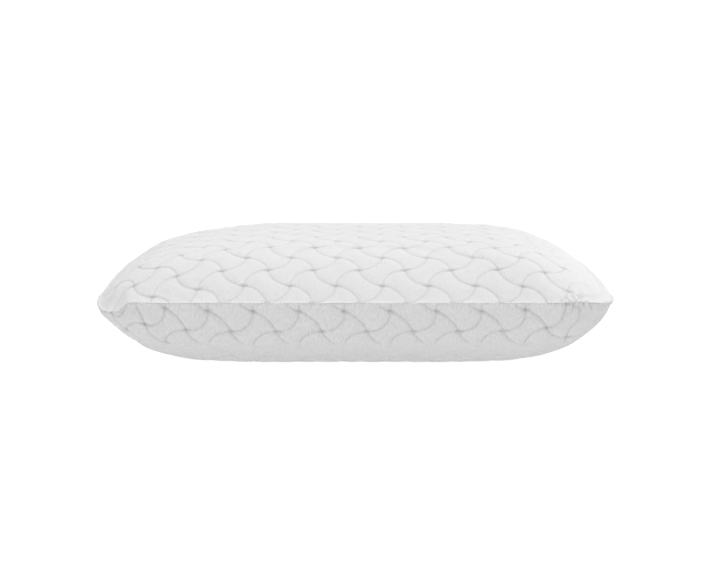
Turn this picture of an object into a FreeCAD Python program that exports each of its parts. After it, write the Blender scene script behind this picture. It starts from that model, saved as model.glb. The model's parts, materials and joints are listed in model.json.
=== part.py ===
"""Bed pillow: a moulded foam core in a sewn liner, inside a zipped two-panel knit cover.

Frame, millimetres: the pillow lies flat. The origin is the centre of its footprint on the
surface it rests on, +Z is up, X runs along the long sides and +Y points to the zip side.
The cover's top and bottom panels meet in one sewn edge that runs round the pillow; the zip
lies just under that edge in the middle of the rear long side.
"""
import FreeCAD, Part
import math
import os

# ---- whole pillow ----
LENGTH = 610.0               # along X, over the sewn edge
WIDTH = 420.0                # along Y, over the sewn edge
SEAM_HEIGHT = 88.0           # sewn edge above the base
CROWN = 59.5                 # top of the pillow above the sewn edge

# ---- swell of the cover: size = (1 - height ** (1 / shoulder)) ** (1 / fullness) ----
TOP_END = (4.08, 0.93)       # (fullness, shoulder) of the upper half at its two ends
TOP_SIDE = (4.27, 1.18)      # the same at its long sides, where the slope is softer
BASE_END = (4.90, 0.63)      # lower half, ends
BASE_SIDE = (3.90, 0.405)    # lower half, long sides, which drop nearly straight
CROWN_FLAT = 0.998           # share of the swell kept before the flat on the crown
BASE_FLAT = 0.985            # the same before the flat that the pillow rests on
SQUARE_SEAM = 8.2            # squareness of the outline at the sewn edge
SQUARE_CROWN = 2.4           # and towards the crown
SQUARE_BASE = 5.7            # and towards the base

# ---- layers, from outside to inside ----
COVER_WALL = 3.0             # quilted knit
LINER_WALL = 0.8             # plain jersey stocking round the foam
LAYER_GAP = 0.4              # slack between two layers
SEAM_SPREAD = 1.45           # sideways inset at the sewn edge for each 1 mm of layer

# ---- sewn edge, seen in section ----
ALLOWANCE_WIDTH = 6.0        # cover fabric turned inwards at the sewn edge
ALLOWANCE_THICK = 1.2
THREAD_THICK = 0.9           # lockstitch that lies between the two allowances
THREAD_WIDTH = 1.2
THREAD_SETBACK = 1.0         # thread behind the inner face of the cover wall
THREAD_SLACK = 0.15          # thread to the cloth beside it
OVERLOCK_WIDTH = 1.2         # thread wrapped round the cut edges of the allowances
SEAM_ROOM = 2.0              # free space between that thread and the liner
RELIEF_HEIGHT = 14.0         # least reach, up and down, of the foam's rounded waist

# ---- zip ----
ZIP_OPENING = 380.0          # slit in the bottom panel, along X
ZIP_SLIT = 10.0              # height of the slit, from the sewn edge down
ZIP_DROP = 5.2               # chain centre below the sewn edge
TAPE_THICK = 0.8
TAPE_REACH = 13.0            # lower tape below the chain, behind the panel
TAPE_SPLIT = 1.6             # gap between the two tapes
ZIP_END_GAP = 0.5            # tape end to the end of the slit
COIL_THICK = 1.8             # chain, front to back
COIL_WIDTH = 1.75            # one row of teeth
COIL_SPINE = 0.8             # its solid edge
COIL_SPLIT = 0.9             # gap between the two rows
TOOTH_PITCH = 1.8
TOOTH_WIDTH = 0.9
ZIP_CLEARANCE = 0.3          # chain to tape, and slider to chain

# ---- slider and its pull ----
SLIDER_LENGTH = 9.0
SLIDER_NOSE = 7.0            # width at the throats, the end that leads when closing
SLIDER_TAIL = 5.8            # width where the closed chain comes out
PLATE_THICK = 0.9
SLIDER_LIP = 0.7             # edge lips that keep the chain in
POST_WIDTH = 0.5             # blade between the two rows, joining the plates
POST_LENGTH = 3.0
BRIDGE_SPAN = 6.4            # arch over the pull's bar, along X
BRIDGE_WIDTH = 1.6
BRIDGE_THICK = 0.7
BRIDGE_ROOM = 2.0            # height under the arch
PULL_LENGTH = 20.0
PULL_WIDTH = 5.4
PULL_THICK = 1.0
PULL_BAR = 1.0               # thickness of the bar under the arch
PULL_WINDOW = (6.0, 2.6)     # opening that the arch passes through, length and width
PULL_HOLE = 1.3              # radius of the hole near the free end
STOP_LENGTH = 2.4
SLIDER_AT_REST = 13.0        # slider centre to the slit's closed end
SLIDER_TRAVEL = 340.0

# ---- zip stitching and care label ----
STITCH_THICK = 0.4
STITCH_HEIGHT = 0.9
STITCH_MARGIN = 3.5          # topstitch below the slit
LABEL_WIDTH = 34.0
LABEL_DROP = 28.0
LABEL_THICK = 0.8
LABEL_TO_ZIP = 24.0
LABEL_GAP = 0.2

# ---- resolution of the lofted outlines ----
QUARTER_STEPS = 16
LEVELS = 17

HALF_X = LENGTH / 2
HALF_Y = WIDTH / 2
LINER_OUT = COVER_WALL + LAYER_GAP
LINER_IN = LINER_OUT + LINER_WALL
CORE_OUT = LINER_IN + LAYER_GAP


def outline_y(x, inset):
    """Y of the rear outline at x, at the sewn edge, for a layer this far inside the cover."""
    half_x = HALF_X - SEAM_SPREAD * inset
    half_y = HALF_Y - SEAM_SPREAD * inset
    return half_y * (1 - abs(x / half_x) ** SQUARE_SEAM) ** (1 / SQUARE_SEAM)


def bow(x):
    """How far the rear outline has come forward at x from its middle."""
    return outline_y(0, COVER_WALL) - outline_y(x, COVER_WALL)


ZIP_Z = SEAM_HEIGHT - ZIP_DROP
ZIP_BOW = bow(ZIP_OPENING / 2)
SEAM_RELIEF = ALLOWANCE_WIDTH + OVERLOCK_WIDTH + SEAM_ROOM + ZIP_BOW


def half_sizes(z, inset):
    """Half length, half width and squareness of a layer's outline at height z."""
    half_x = HALF_X - SEAM_SPREAD * inset
    half_y = HALF_Y - SEAM_SPREAD * inset
    if z >= SEAM_HEIGHT:
        swell = CROWN_FLAT * (z - SEAM_HEIGHT) / (CROWN - inset)
        end, side, square = TOP_END, TOP_SIDE, SQUARE_CROWN
    else:
        swell = BASE_FLAT * (SEAM_HEIGHT - z) / (SEAM_HEIGHT - inset)
        end, side, square = BASE_END, BASE_SIDE, SQUARE_BASE
    share_x = (1 - swell ** (1 / end[1])) ** (1 / end[0])
    share_y = (1 - swell ** (1 / side[1])) ** (1 / side[0])
    squareness = SQUARE_SEAM + (square - SQUARE_SEAM) * (1 - share_y)
    return half_x * share_x, half_y * share_y, squareness


def outline(half_x, half_y, squareness, z):
    """Closed smooth wire, a rectangle with rounded corners after Lame's curve, in four quarters."""
    step = math.pi / 2 / QUARTER_STEPS
    rim = []
    for i in range(4 * QUARTER_STEPS):
        c, s = math.cos(i * step), math.sin(i * step)
        reach = (abs(c) ** squareness + abs(s) ** squareness) ** (-1 / squareness)
        rim.append(FreeCAD.Vector(half_x * c * reach, half_y * s * reach, z))
    edges = []
    for quarter in range(4):
        points = [rim[(quarter * QUARTER_STEPS + i) % len(rim)] for i in range(QUARTER_STEPS + 1)]
        along_y = FreeCAD.Vector(0, half_y * step, 0) * (1 - quarter // 2 * 2)
        along_x = FreeCAD.Vector(-half_x * step, 0, 0) * (1 - quarter // 2 * 2)
        start, end = (along_y, along_x) if quarter % 2 == 0 else (along_x, along_y * -1)
        curve = Part.BSplineCurve()
        curve.interpolate(Points=points, Parameters=list(range(QUARTER_STEPS + 1)),
                          InitialTangent=start, FinalTangent=end)
        edges.append(curve.toShape())
    return Part.Wire(edges)


def levels(low, high):
    """Heights for a loft, closer together at both ends of the stretch."""
    steps = [(1 - math.cos(math.pi * i / (LEVELS - 1))) / 2 for i in range(LEVELS)]
    return [low + (high - low) * step for step in steps]


def swelled(heights, inset, relief=0.0):
    """Solid whose outline at each height is the layer's own, drawn in at the waist by a relief."""
    wires = []
    for z in heights:
        half_x, half_y, squareness = half_sizes(z, inset)
        waist = relief * math.exp(-(((z - SEAM_HEIGHT) / WAIST_REACH) ** 2))
        wires.append(outline(half_x - waist, half_y - waist, squareness, z))
    return Part.makeLoft(wires, True, False)


def slab(inset, extra, low, high):
    """Upright-sided solid with the sewn edge's outline, brought in by a layer and an extra width."""
    half_x = HALF_X - SEAM_SPREAD * inset - extra
    half_y = HALF_Y - SEAM_SPREAD * inset - extra
    face = Part.Face(outline(half_x, half_y, SQUARE_SEAM, low))
    return face.extrude(FreeCAD.Vector(0, 0, high - low))


def ring(inset, extra, width, thick):
    """Flat band that follows the sewn edge, centred on its height."""
    low, high = SEAM_HEIGHT - thick / 2, SEAM_HEIGHT + thick / 2
    return slab(inset, extra, low, high).cut(slab(inset, extra + width, low, high))


def block(x, y, z):
    """Box from three (low, high) pairs."""
    size = [pair[1] - pair[0] for pair in (x, y, z)]
    return Part.makeBox(*size, FreeCAD.Vector(x[0], y[0], z[0]))


def prism_along_x(section, low, high):
    """Solid from a closed (y, z) section."""
    points = [FreeCAD.Vector(low, y, z) for y, z in section]
    face = Part.Face(Part.makePolygon(points + points[:1]))
    return face.extrude(FreeCAD.Vector(high - low, 0, 0))


def prism_along_y(section, low, high):
    """Solid from a closed (x, z) section."""
    points = [FreeCAD.Vector(x, low, z) for x, z in section]
    face = Part.Face(Part.makePolygon(points + points[:1]))
    return face.extrude(FreeCAD.Vector(0, high - low, 0))


def fused(*shapes):
    """One clean solid from pieces that touch or overlap."""
    return shapes[0].multiFuse(shapes[1:]).removeSplitter()


def rear_y(x, z, inset):
    """Y of a layer's rear face at x and height z."""
    half_x, half_y, squareness = half_sizes(z, inset)
    return half_y * (1 - abs(x / half_x) ** squareness) ** (1 / squareness)


# ---- where the zip's layers lie, front to back ----
TAPE_FOOT = ZIP_Z - TAPE_REACH
TAPE_Y = rear_y(ZIP_OPENING / 2, TAPE_FOOT, COVER_WALL) - ZIP_CLEARANCE
COIL_Y = TAPE_Y + ZIP_CLEARANCE
PLATE_Y = COIL_Y + COIL_THICK + ZIP_CLEARANCE
BAR_Y = PLATE_Y + PLATE_THICK + BRIDGE_ROOM / 2
BACK_PLATE_Y = TAPE_Y - TAPE_THICK - 2 * ZIP_CLEARANCE - PLATE_THICK
ZIP_HALF = ZIP_OPENING / 2 - ZIP_END_GAP
SLIDER_X = ZIP_OPENING / 2 - SLIDER_AT_REST
CHAIN_HIGH = SLIDER_X + SLIDER_LENGTH / 2 + 1.0
CHAIN_LOW = SLIDER_X - SLIDER_TRAVEL - SLIDER_LENGTH / 2 - 1.0
LABEL_X = -(ZIP_OPENING + LABEL_WIDTH) / 2 - LABEL_TO_ZIP
LABEL_TAIL = SEAM_SPREAD * COVER_WALL + THREAD_SETBACK - 2 * LABEL_GAP

# the waist reaches far enough down for the liner to pass behind the lower tape's foot
FOOT_ROOM = rear_y(0, TAPE_FOOT, LINER_OUT) - (TAPE_Y - TAPE_THICK - ZIP_CLEARANCE)
FOOT_REACH = (SEAM_HEIGHT - TAPE_FOOT) / math.sqrt(math.log(SEAM_RELIEF / FOOT_ROOM))
WAIST_REACH = max(RELIEF_HEIGHT, FOOT_REACH)


def layer_half(upper, inset, relief=0.0, trim=0.0):
    """Upper or lower half of a layer's solid, starting a trim away from the sewn edge's height."""
    if upper:
        return swelled(levels(SEAM_HEIGHT + trim, SEAM_HEIGHT + CROWN - inset), inset, relief)
    return swelled(levels(inset, SEAM_HEIGHT - trim), inset, relief)


def foam_core():
    """One moulded block, with its waist drawn in behind the sewn edge."""
    return fused(layer_half(False, CORE_OUT, SEAM_RELIEF), layer_half(True, CORE_OUT, SEAM_RELIEF))


def liner_panel(upper):
    """Half of the liner: a thin stretched shell over one face of the foam."""
    return layer_half(upper, LINER_OUT, SEAM_RELIEF).cut(layer_half(upper, LINER_IN, SEAM_RELIEF))


def cover_panel(upper):
    """Half of the cover: the quilted wall with its seam allowance turned inwards."""
    side = 1 if upper else -1
    step = THREAD_THICK / 2 + THREAD_SLACK
    depth = step + ALLOWANCE_THICK
    wall = layer_half(upper, 0).cut(layer_half(upper, COVER_WALL, trim=depth))
    slot = slab(COVER_WALL, 0, *sorted((SEAM_HEIGHT, SEAM_HEIGHT + side * step)))
    mouth = slab(COVER_WALL, ALLOWANCE_WIDTH, *sorted((SEAM_HEIGHT, SEAM_HEIGHT + side * depth)))
    return wall.cut(slot).cut(mouth)


def zip_slit():
    """Opening cut through the bottom panel and its allowance for the zip."""
    half = ZIP_OPENING / 2
    inner = outline_y(half, COVER_WALL) - ALLOWANCE_WIDTH - 1
    return block((-half, half), (inner, HALF_Y + 1), (SEAM_HEIGHT - ZIP_SLIT, SEAM_HEIGHT + 1))


def label_bulge(turn):
    """How far the curved edge stands out past the straight label, at this turn."""
    steps = [LABEL_WIDTH * (i / LEVELS - 0.5) for i in range(LEVELS + 1)]
    rises = [outline_y(LABEL_X + step, 0) - outline_y(LABEL_X, 0) for step in steps]
    return max(rise * math.cos(turn) - step * math.sin(turn) for rise, step in zip(rises, steps))


def label_frame(shape):
    """Turn and move a piece drawn at the origin to the label's place on the sewn edge."""
    near, far = LABEL_X + LABEL_WIDTH / 2, LABEL_X - LABEL_WIDTH / 2
    turn = math.atan2(outline_y(near, 0) - outline_y(far, 0), near - far)
    clear = max(0, label_bulge(turn) - LABEL_GAP / 2)
    shape.translate(FreeCAD.Vector(0, clear, 0))
    shape.rotate(FreeCAD.Vector(0, 0, 0), FreeCAD.Vector(0, 0, 1), math.degrees(turn))
    shape.translate(FreeCAD.Vector(LABEL_X, outline_y(LABEL_X, 0), SEAM_HEIGHT))
    return shape


def label_slot():
    """Relief in the bottom panel where the label passes into the seam."""
    half = LABEL_WIDTH / 2 + LABEL_GAP
    tail = LABEL_TAIL + LABEL_GAP
    return label_frame(block((-half, half), (-tail, 5), (-LABEL_THICK - 2 * LABEL_GAP, 1)))


def care_label():
    """Blank strip, caught in the sewn edge and hanging down outside the bottom panel."""
    half = LABEL_WIDTH / 2
    front, back = LABEL_THICK + LABEL_GAP, LABEL_GAP
    section = [(-LABEL_TAIL, -LABEL_GAP - LABEL_THICK), (back, -LABEL_GAP - LABEL_THICK),
               (back, -LABEL_DROP), (front, -LABEL_DROP), (front, -LABEL_GAP),
               (-LABEL_TAIL, -LABEL_GAP)]
    return label_frame(prism_along_x(section, -half, half))


def label_stitches():
    """Short row across the label, close under the sewn edge."""
    half = LABEL_WIDTH / 2 - 2.0
    front = LABEL_THICK + LABEL_GAP
    drop = STITCH_MARGIN
    return label_frame(block((-half, half), (front, front + STITCH_THICK),
                             (-drop, STITCH_HEIGHT - drop)))


def tape_upper():
    """Tape folded at the sewn edge: one leg under the top allowance, one down to the chain."""
    top = SEAM_HEIGHT - THREAD_THICK / 2 - THREAD_SLACK
    tail = outline_y(0, COVER_WALL) - ALLOWANCE_WIDTH
    section = [(tail, top - TAPE_THICK), (TAPE_Y - TAPE_THICK, top - TAPE_THICK),
               (TAPE_Y - TAPE_THICK, ZIP_Z + TAPE_SPLIT / 2), (TAPE_Y, ZIP_Z + TAPE_SPLIT / 2),
               (TAPE_Y, top), (tail, top)]
    return prism_along_x(section, -ZIP_HALF, ZIP_HALF)


def tape_lower():
    """Flat tape from the chain down behind the bottom panel."""
    top = ZIP_Z - TAPE_SPLIT / 2
    section = [(TAPE_Y, top), (TAPE_Y, TAPE_FOOT),
               (TAPE_Y - TAPE_THICK, TAPE_FOOT), (TAPE_Y - TAPE_THICK, top)]
    return prism_along_x(section, -ZIP_HALF, ZIP_HALF)


def coil(side):
    """One row of the chain: a spine with teeth towards the other row. side is 1 above, -1 below."""
    tip = ZIP_Z + side * COIL_SPLIT / 2
    root = tip + side * (COIL_WIDTH - COIL_SPINE)
    back = tip + side * COIL_WIDTH
    shift = 0 if side > 0 else TOOTH_PITCH / 2
    count = int((CHAIN_HIGH - CHAIN_LOW - shift) / TOOTH_PITCH)
    section = [(CHAIN_LOW, back), (CHAIN_LOW, root)]
    for i in range(count):
        x = CHAIN_LOW + shift + i * TOOTH_PITCH + (TOOTH_PITCH - TOOTH_WIDTH) / 2
        section += [(x, root), (x, tip), (x + TOOTH_WIDTH, tip), (x + TOOTH_WIDTH, root)]
    section += [(CHAIN_HIGH, root), (CHAIN_HIGH, back)]
    return prism_along_y(section, COIL_Y, COIL_Y + COIL_THICK)


def stop_block(x, low, high):
    """Block at an end of the chain, on the face of the tapes."""
    return block((x, x + STOP_LENGTH), (COIL_Y, COIL_Y + COIL_THICK + 0.2), (low, high))


def top_stops():
    """One stop on each tape, at the closed end."""
    x = CHAIN_HIGH + ZIP_CLEARANCE
    inner, outer = COIL_SPLIT / 2, COIL_SPLIT / 2 + COIL_WIDTH + 0.3
    upper = stop_block(x, ZIP_Z + inner, ZIP_Z + outer)
    lower = stop_block(x, ZIP_Z - outer, ZIP_Z - inner)
    return Part.makeCompound([upper, lower])


def bottom_stop():
    """One stop that holds both tapes together at the open end."""
    reach = COIL_SPLIT / 2 + COIL_WIDTH + 0.3
    return stop_block(CHAIN_LOW - ZIP_CLEARANCE - STOP_LENGTH, ZIP_Z - reach, ZIP_Z + reach)


def slider_plate(low, high):
    """Tapered plate, wide at the throats and narrow at the tail, with broken corners."""
    front, tail = SLIDER_X + SLIDER_LENGTH / 2, SLIDER_X - SLIDER_LENGTH / 2
    nose, end, cut = SLIDER_NOSE / 2, SLIDER_TAIL / 2, 1.0
    half = [(front, 0), (front, nose - cut), (front - cut, nose), (SLIDER_X + 0.5, nose),
            (SLIDER_X - 1.5, end), (tail + cut, end), (tail, end - cut)]
    section = [(x, ZIP_Z + z) for x, z in half] + [(x, ZIP_Z - z) for x, z in reversed(half[1:])]
    return prism_along_y(section, low, high)


def slider():
    """Front plate with edge lips and an arch, joined to the back plate by a narrow blade."""
    front = slider_plate(PLATE_Y, PLATE_Y + PLATE_THICK)
    back = slider_plate(BACK_PLATE_Y, BACK_PLATE_Y + PLATE_THICK)
    blade = block((SLIDER_X - POST_LENGTH / 2, SLIDER_X + POST_LENGTH / 2),
                  (BACK_PLATE_Y + PLATE_THICK / 2, PLATE_Y + PLATE_THICK / 2),
                  (ZIP_Z - POST_WIDTH / 2, ZIP_Z + POST_WIDTH / 2))
    body = [front, back, blade]
    tail = SLIDER_X - SLIDER_LENGTH / 2
    for side in (1, -1):
        edges = sorted((ZIP_Z + side * SLIDER_NOSE / 2, ZIP_Z + side * (SLIDER_NOSE / 2 - SLIDER_LIP)))
        body.append(block((SLIDER_X + 0.5, SLIDER_X + SLIDER_LENGTH / 2 - 1.0),
                          (COIL_Y + ZIP_CLEARANCE, PLATE_Y + PLATE_THICK / 2), edges))
    foot = PLATE_Y + PLATE_THICK
    crown = foot + BRIDGE_ROOM
    width = (ZIP_Z - BRIDGE_WIDTH / 2, ZIP_Z + BRIDGE_WIDTH / 2)
    ends = BRIDGE_SPAN / 2
    arch = block((SLIDER_X - ends, SLIDER_X + ends), (foot - PLATE_THICK / 2, crown + BRIDGE_THICK), width)
    arch = rounded(arch, 1.2, lambda edge: along(edge, 2) and edge.CenterOfMass.y > crown)
    window = block((SLIDER_X - ends + 0.9, SLIDER_X + ends - 0.9), (foot, crown),
                   (ZIP_Z - BRIDGE_WIDTH, ZIP_Z + BRIDGE_WIDTH))
    body.append(arch.cut(window))
    return fused(*body)


def along(edge, axis):
    """True for a straight edge that runs along axis 0, 1 or 2."""
    ends = [vertex.Point for vertex in edge.Vertexes]
    if len(ends) < 2:
        return False
    run = ends[1].sub(ends[0])
    return abs(run[axis]) > 0.99 * run.Length


def rounded(shape, radius, wanted):
    """Fillet the edges that wanted picks."""
    return shape.makeFillet(radius, [edge for edge in shape.Edges if wanted(edge)])


def pull():
    """Flat tab lying over the chain, with its end bar under the slider's arch."""
    low, high = BAR_Y - PULL_THICK / 2, BAR_Y + PULL_THICK / 2
    near, far = SLIDER_X + PULL_BAR / 2, SLIDER_X - PULL_LENGTH
    half = PULL_WIDTH / 2
    tab = block((far, near), (low, high), (ZIP_Z - half, ZIP_Z + half))
    tab = rounded(tab, half - 0.4, lambda edge: along(edge, 1) and edge.CenterOfMass.x < far + 1)
    tab = rounded(tab, 0.45, lambda edge: along(edge, 2) and edge.CenterOfMass.x > near - 1)
    length, width = PULL_WINDOW
    start = SLIDER_X - PULL_BAR / 2
    window = block((start - length, start), (low - 1, high + 1), (ZIP_Z - width / 2, ZIP_Z + width / 2))
    window = rounded(window, 0.6, lambda edge: along(edge, 1))
    hole = Part.makeCylinder(PULL_HOLE, PULL_THICK + 2, FreeCAD.Vector(far + half + 0.4, low - 1, ZIP_Z),
                             FreeCAD.Vector(0, 1, 0))
    return tab.cut(window).cut(hole)


def stitches_lower():
    """Topstitch on the face of the bottom panel, along the slit's lower edge."""
    low = SEAM_HEIGHT - ZIP_SLIT - STITCH_MARGIN
    heights = [low, low + STITCH_HEIGHT]
    near = THREAD_SLACK / SEAM_SPREAD
    band = swelled(heights, -near - STITCH_THICK).cut(swelled(heights, -near))
    half = ZIP_OPENING / 2
    return band.common(block((-half, half), (0, HALF_Y + 5), (heights[0] - 1, heights[1] + 1)))


def stitches_upper():
    """Thread between the top allowance and the folded leg of the upper tape."""
    edge = max(outline_y(ZIP_OPENING / 2, COVER_WALL) + 1.0, outline_y(0, COVER_WALL) + THREAD_SLACK)
    inner = edge - ALLOWANCE_WIDTH
    half = THREAD_THICK / 2
    return block((-ZIP_HALF, ZIP_HALF), (inner, inner + THREAD_WIDTH / 2),
                 (SEAM_HEIGHT - half, SEAM_HEIGHT + half))


def liner_thread():
    """Overlocked joint round the waist of the liner."""
    extra = SEAM_RELIEF - THREAD_SLACK - THREAD_WIDTH / 2
    return ring(LINER_OUT, extra, THREAD_WIDTH / 2, THREAD_WIDTH)


def build():
    """Every piece of the pillow, by name."""
    overlock_height = 2 * (ALLOWANCE_THICK + THREAD_SLACK) + THREAD_THICK
    return {
        "foam_core": foam_core(),
        "liner_top_panel": liner_panel(True),
        "liner_bottom_panel": liner_panel(False),
        "liner_seam_thread": liner_thread(),
        "cover_top_panel": cover_panel(True),
        "cover_bottom_panel": cover_panel(False).cut(zip_slit()).cut(label_slot()),
        "cover_seam_thread": ring(COVER_WALL, THREAD_SETBACK, THREAD_WIDTH, THREAD_THICK),
        "cover_overlock_thread": ring(COVER_WALL, ALLOWANCE_WIDTH + THREAD_SLACK,
                                      OVERLOCK_WIDTH, overlock_height),
        "zipper_tape_upper": tape_upper(),
        "zipper_tape_lower": tape_lower(),
        "zipper_coil_upper": coil(1),
        "zipper_coil_lower": coil(-1),
        "zipper_slider": slider(),
        "zipper_pull": pull(),
        "zipper_top_stops": top_stops(),
        "zipper_bottom_stop": bottom_stop(),
        "zipper_stitches_upper": stitches_upper(),
        "zipper_stitches_lower": stitches_lower(),
        "care_label": care_label(),
        "label_stitches": label_stitches(),
    }


os.makedirs("parts", exist_ok=True)
for name, shape in build().items():
    shape.exportStep("parts/" + name + ".step")
    box = shape.BoundBox
    print(name, "solids", len(shape.Solids), "valid", shape.isValid(), "cm3", round(shape.Volume / 1000, 2),
          "box", [round(v, 2) for v in (box.XMin, box.YMin, box.ZMin, box.XMax, box.YMax, box.ZMax)])
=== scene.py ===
"""Bed pillow: quilted knit cover over a foam core, with its seam, zip and label, built around the frame."""
import json
import logging
import math
from dataclasses import dataclass, field
from enum import Enum
from typing import Optional

import bmesh
import bpy
import numpy as np
from mathutils import Euler, Matrix, Vector
from mathutils.bvhtree import BVHTree


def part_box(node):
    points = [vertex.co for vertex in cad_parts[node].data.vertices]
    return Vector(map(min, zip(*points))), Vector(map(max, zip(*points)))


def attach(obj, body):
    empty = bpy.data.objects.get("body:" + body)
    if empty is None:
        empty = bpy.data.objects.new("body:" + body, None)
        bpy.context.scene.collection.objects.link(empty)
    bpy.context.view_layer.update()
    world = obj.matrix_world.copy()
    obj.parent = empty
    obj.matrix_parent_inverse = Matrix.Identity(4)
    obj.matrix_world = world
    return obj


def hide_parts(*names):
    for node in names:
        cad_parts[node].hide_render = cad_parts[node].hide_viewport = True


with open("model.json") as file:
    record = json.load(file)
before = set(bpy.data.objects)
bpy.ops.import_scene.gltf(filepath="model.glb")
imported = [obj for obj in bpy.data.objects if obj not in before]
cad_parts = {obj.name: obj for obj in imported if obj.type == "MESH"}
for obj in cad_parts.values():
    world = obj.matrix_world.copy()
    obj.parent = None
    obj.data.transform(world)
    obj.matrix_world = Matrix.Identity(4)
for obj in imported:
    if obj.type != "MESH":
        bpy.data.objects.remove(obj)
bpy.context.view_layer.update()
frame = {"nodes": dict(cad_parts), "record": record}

LOG = logging.getLogger("pillow")
MM = 0.001


class Panel(Enum):
    """The two panels of the cover."""

    TOP = 1
    BOTTOM = -1


# ---------------------------------------------------------------- small numeric helpers

def smooth_step(low: float, high: float, x: np.ndarray) -> np.ndarray:
    """Ease from 0 to 1.

    Args:
        low: value of x where the ease starts.
        high: value of x where it ends.
        x: values to ease.

    Returns:
        The eased values, from 0 to 1.
    """
    t = np.clip((x - low) / (high - low), 0.0, 1.0)
    return t * t * (3.0 - 2.0 * t)


def bell(x: np.ndarray, middle: float, width: float) -> np.ndarray:
    """Bell curve over x: 1 at its middle, and about a third at its width from there."""
    return np.exp(-(((x - middle) / width) ** 2))


def cloth_noise(x: np.ndarray, y: np.ndarray, cell: float, seed: int) -> np.ndarray:
    """Smooth seeded noise over the cloth.

    Args:
        x: first coordinate, metres.
        y: second coordinate, metres.
        cell: size of one lump, metres.
        seed: which noise.

    Returns:
        Values from -1 to 1.
    """
    lattice = np.random.default_rng(seed).uniform(-1.0, 1.0, (256, 256))
    gx, gy = x / cell, y / cell
    ix, iy = np.floor(gx).astype(int), np.floor(gy).astype(int)
    fx, fy = smooth_step(0.0, 1.0, gx - ix), smooth_step(0.0, 1.0, gy - iy)
    def corner(dx: int, dy: int) -> np.ndarray:
        """Lattice value at one corner of each cell."""
        return lattice[(ix + dx) % 256, (iy + dy) % 256]
    low = corner(0, 0) * (1 - fx) + corner(1, 0) * fx
    high = corner(0, 1) * (1 - fx) + corner(1, 1) * fx
    return low * (1 - fy) + high * fy


def read_points(mesh: bpy.types.Mesh) -> np.ndarray:
    """Vertex places of a mesh, one row each."""
    places = np.empty(len(mesh.vertices) * 3)
    mesh.vertices.foreach_get("co", places)
    return places.reshape(-1, 3)


def write_points(mesh: bpy.types.Mesh, places: np.ndarray) -> None:
    """Put new vertex places into a mesh."""
    mesh.vertices.foreach_set("co", places.astype(np.float64).ravel())
    mesh.update()


def read_normals(mesh: bpy.types.Mesh) -> np.ndarray:
    """Vertex normals of a mesh, one row each."""
    normals = np.empty(len(mesh.vertices) * 3)
    mesh.vertices.foreach_get("normal", normals)
    return normals.reshape(-1, 3)


def new_piece(name: str, bm: bmesh.types.BMesh, material: bpy.types.Material,
              smooth: bool = True) -> bpy.types.Object:
    """Turn a finished bmesh into a piece of the pillow.

    Args:
        name: name of the piece.
        bm: the mesh, freed here.
        material: its finish.
        smooth: shade it smooth.

    Returns:
        The new object, at the origin.
    """
    mesh = bpy.data.meshes.new(name)
    bm.to_mesh(mesh)
    bm.free()
    mesh.polygons.foreach_set("use_smooth", [smooth] * len(mesh.polygons))
    mesh.materials.append(material)
    piece = bpy.data.objects.new(name, mesh)
    bpy.context.scene.collection.objects.link(piece)
    return piece


def add_bead(bm: bmesh.types.BMesh, place: Vector, turn: Matrix, size: tuple[float, float, float]) -> None:
    """Add one stitch, a short rounded length of thread.

    Args:
        bm: mesh that collects the stitches.
        place: its middle.
        turn: the way it is turned.
        size: its half sizes along its own axes.
    """
    matrix = Matrix.Translation(place) @ turn @ Matrix.Diagonal((*size, 1.0))
    bmesh.ops.create_icosphere(bm, subdivisions=1, radius=1.0, matrix=matrix)


# ---------------------------------------------------------------- finishes

def darker(color: tuple[float, ...], share: float) -> tuple[float, ...]:
    """A colour with each channel brought down to a share of itself."""
    return tuple(c * share for c in color)


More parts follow.
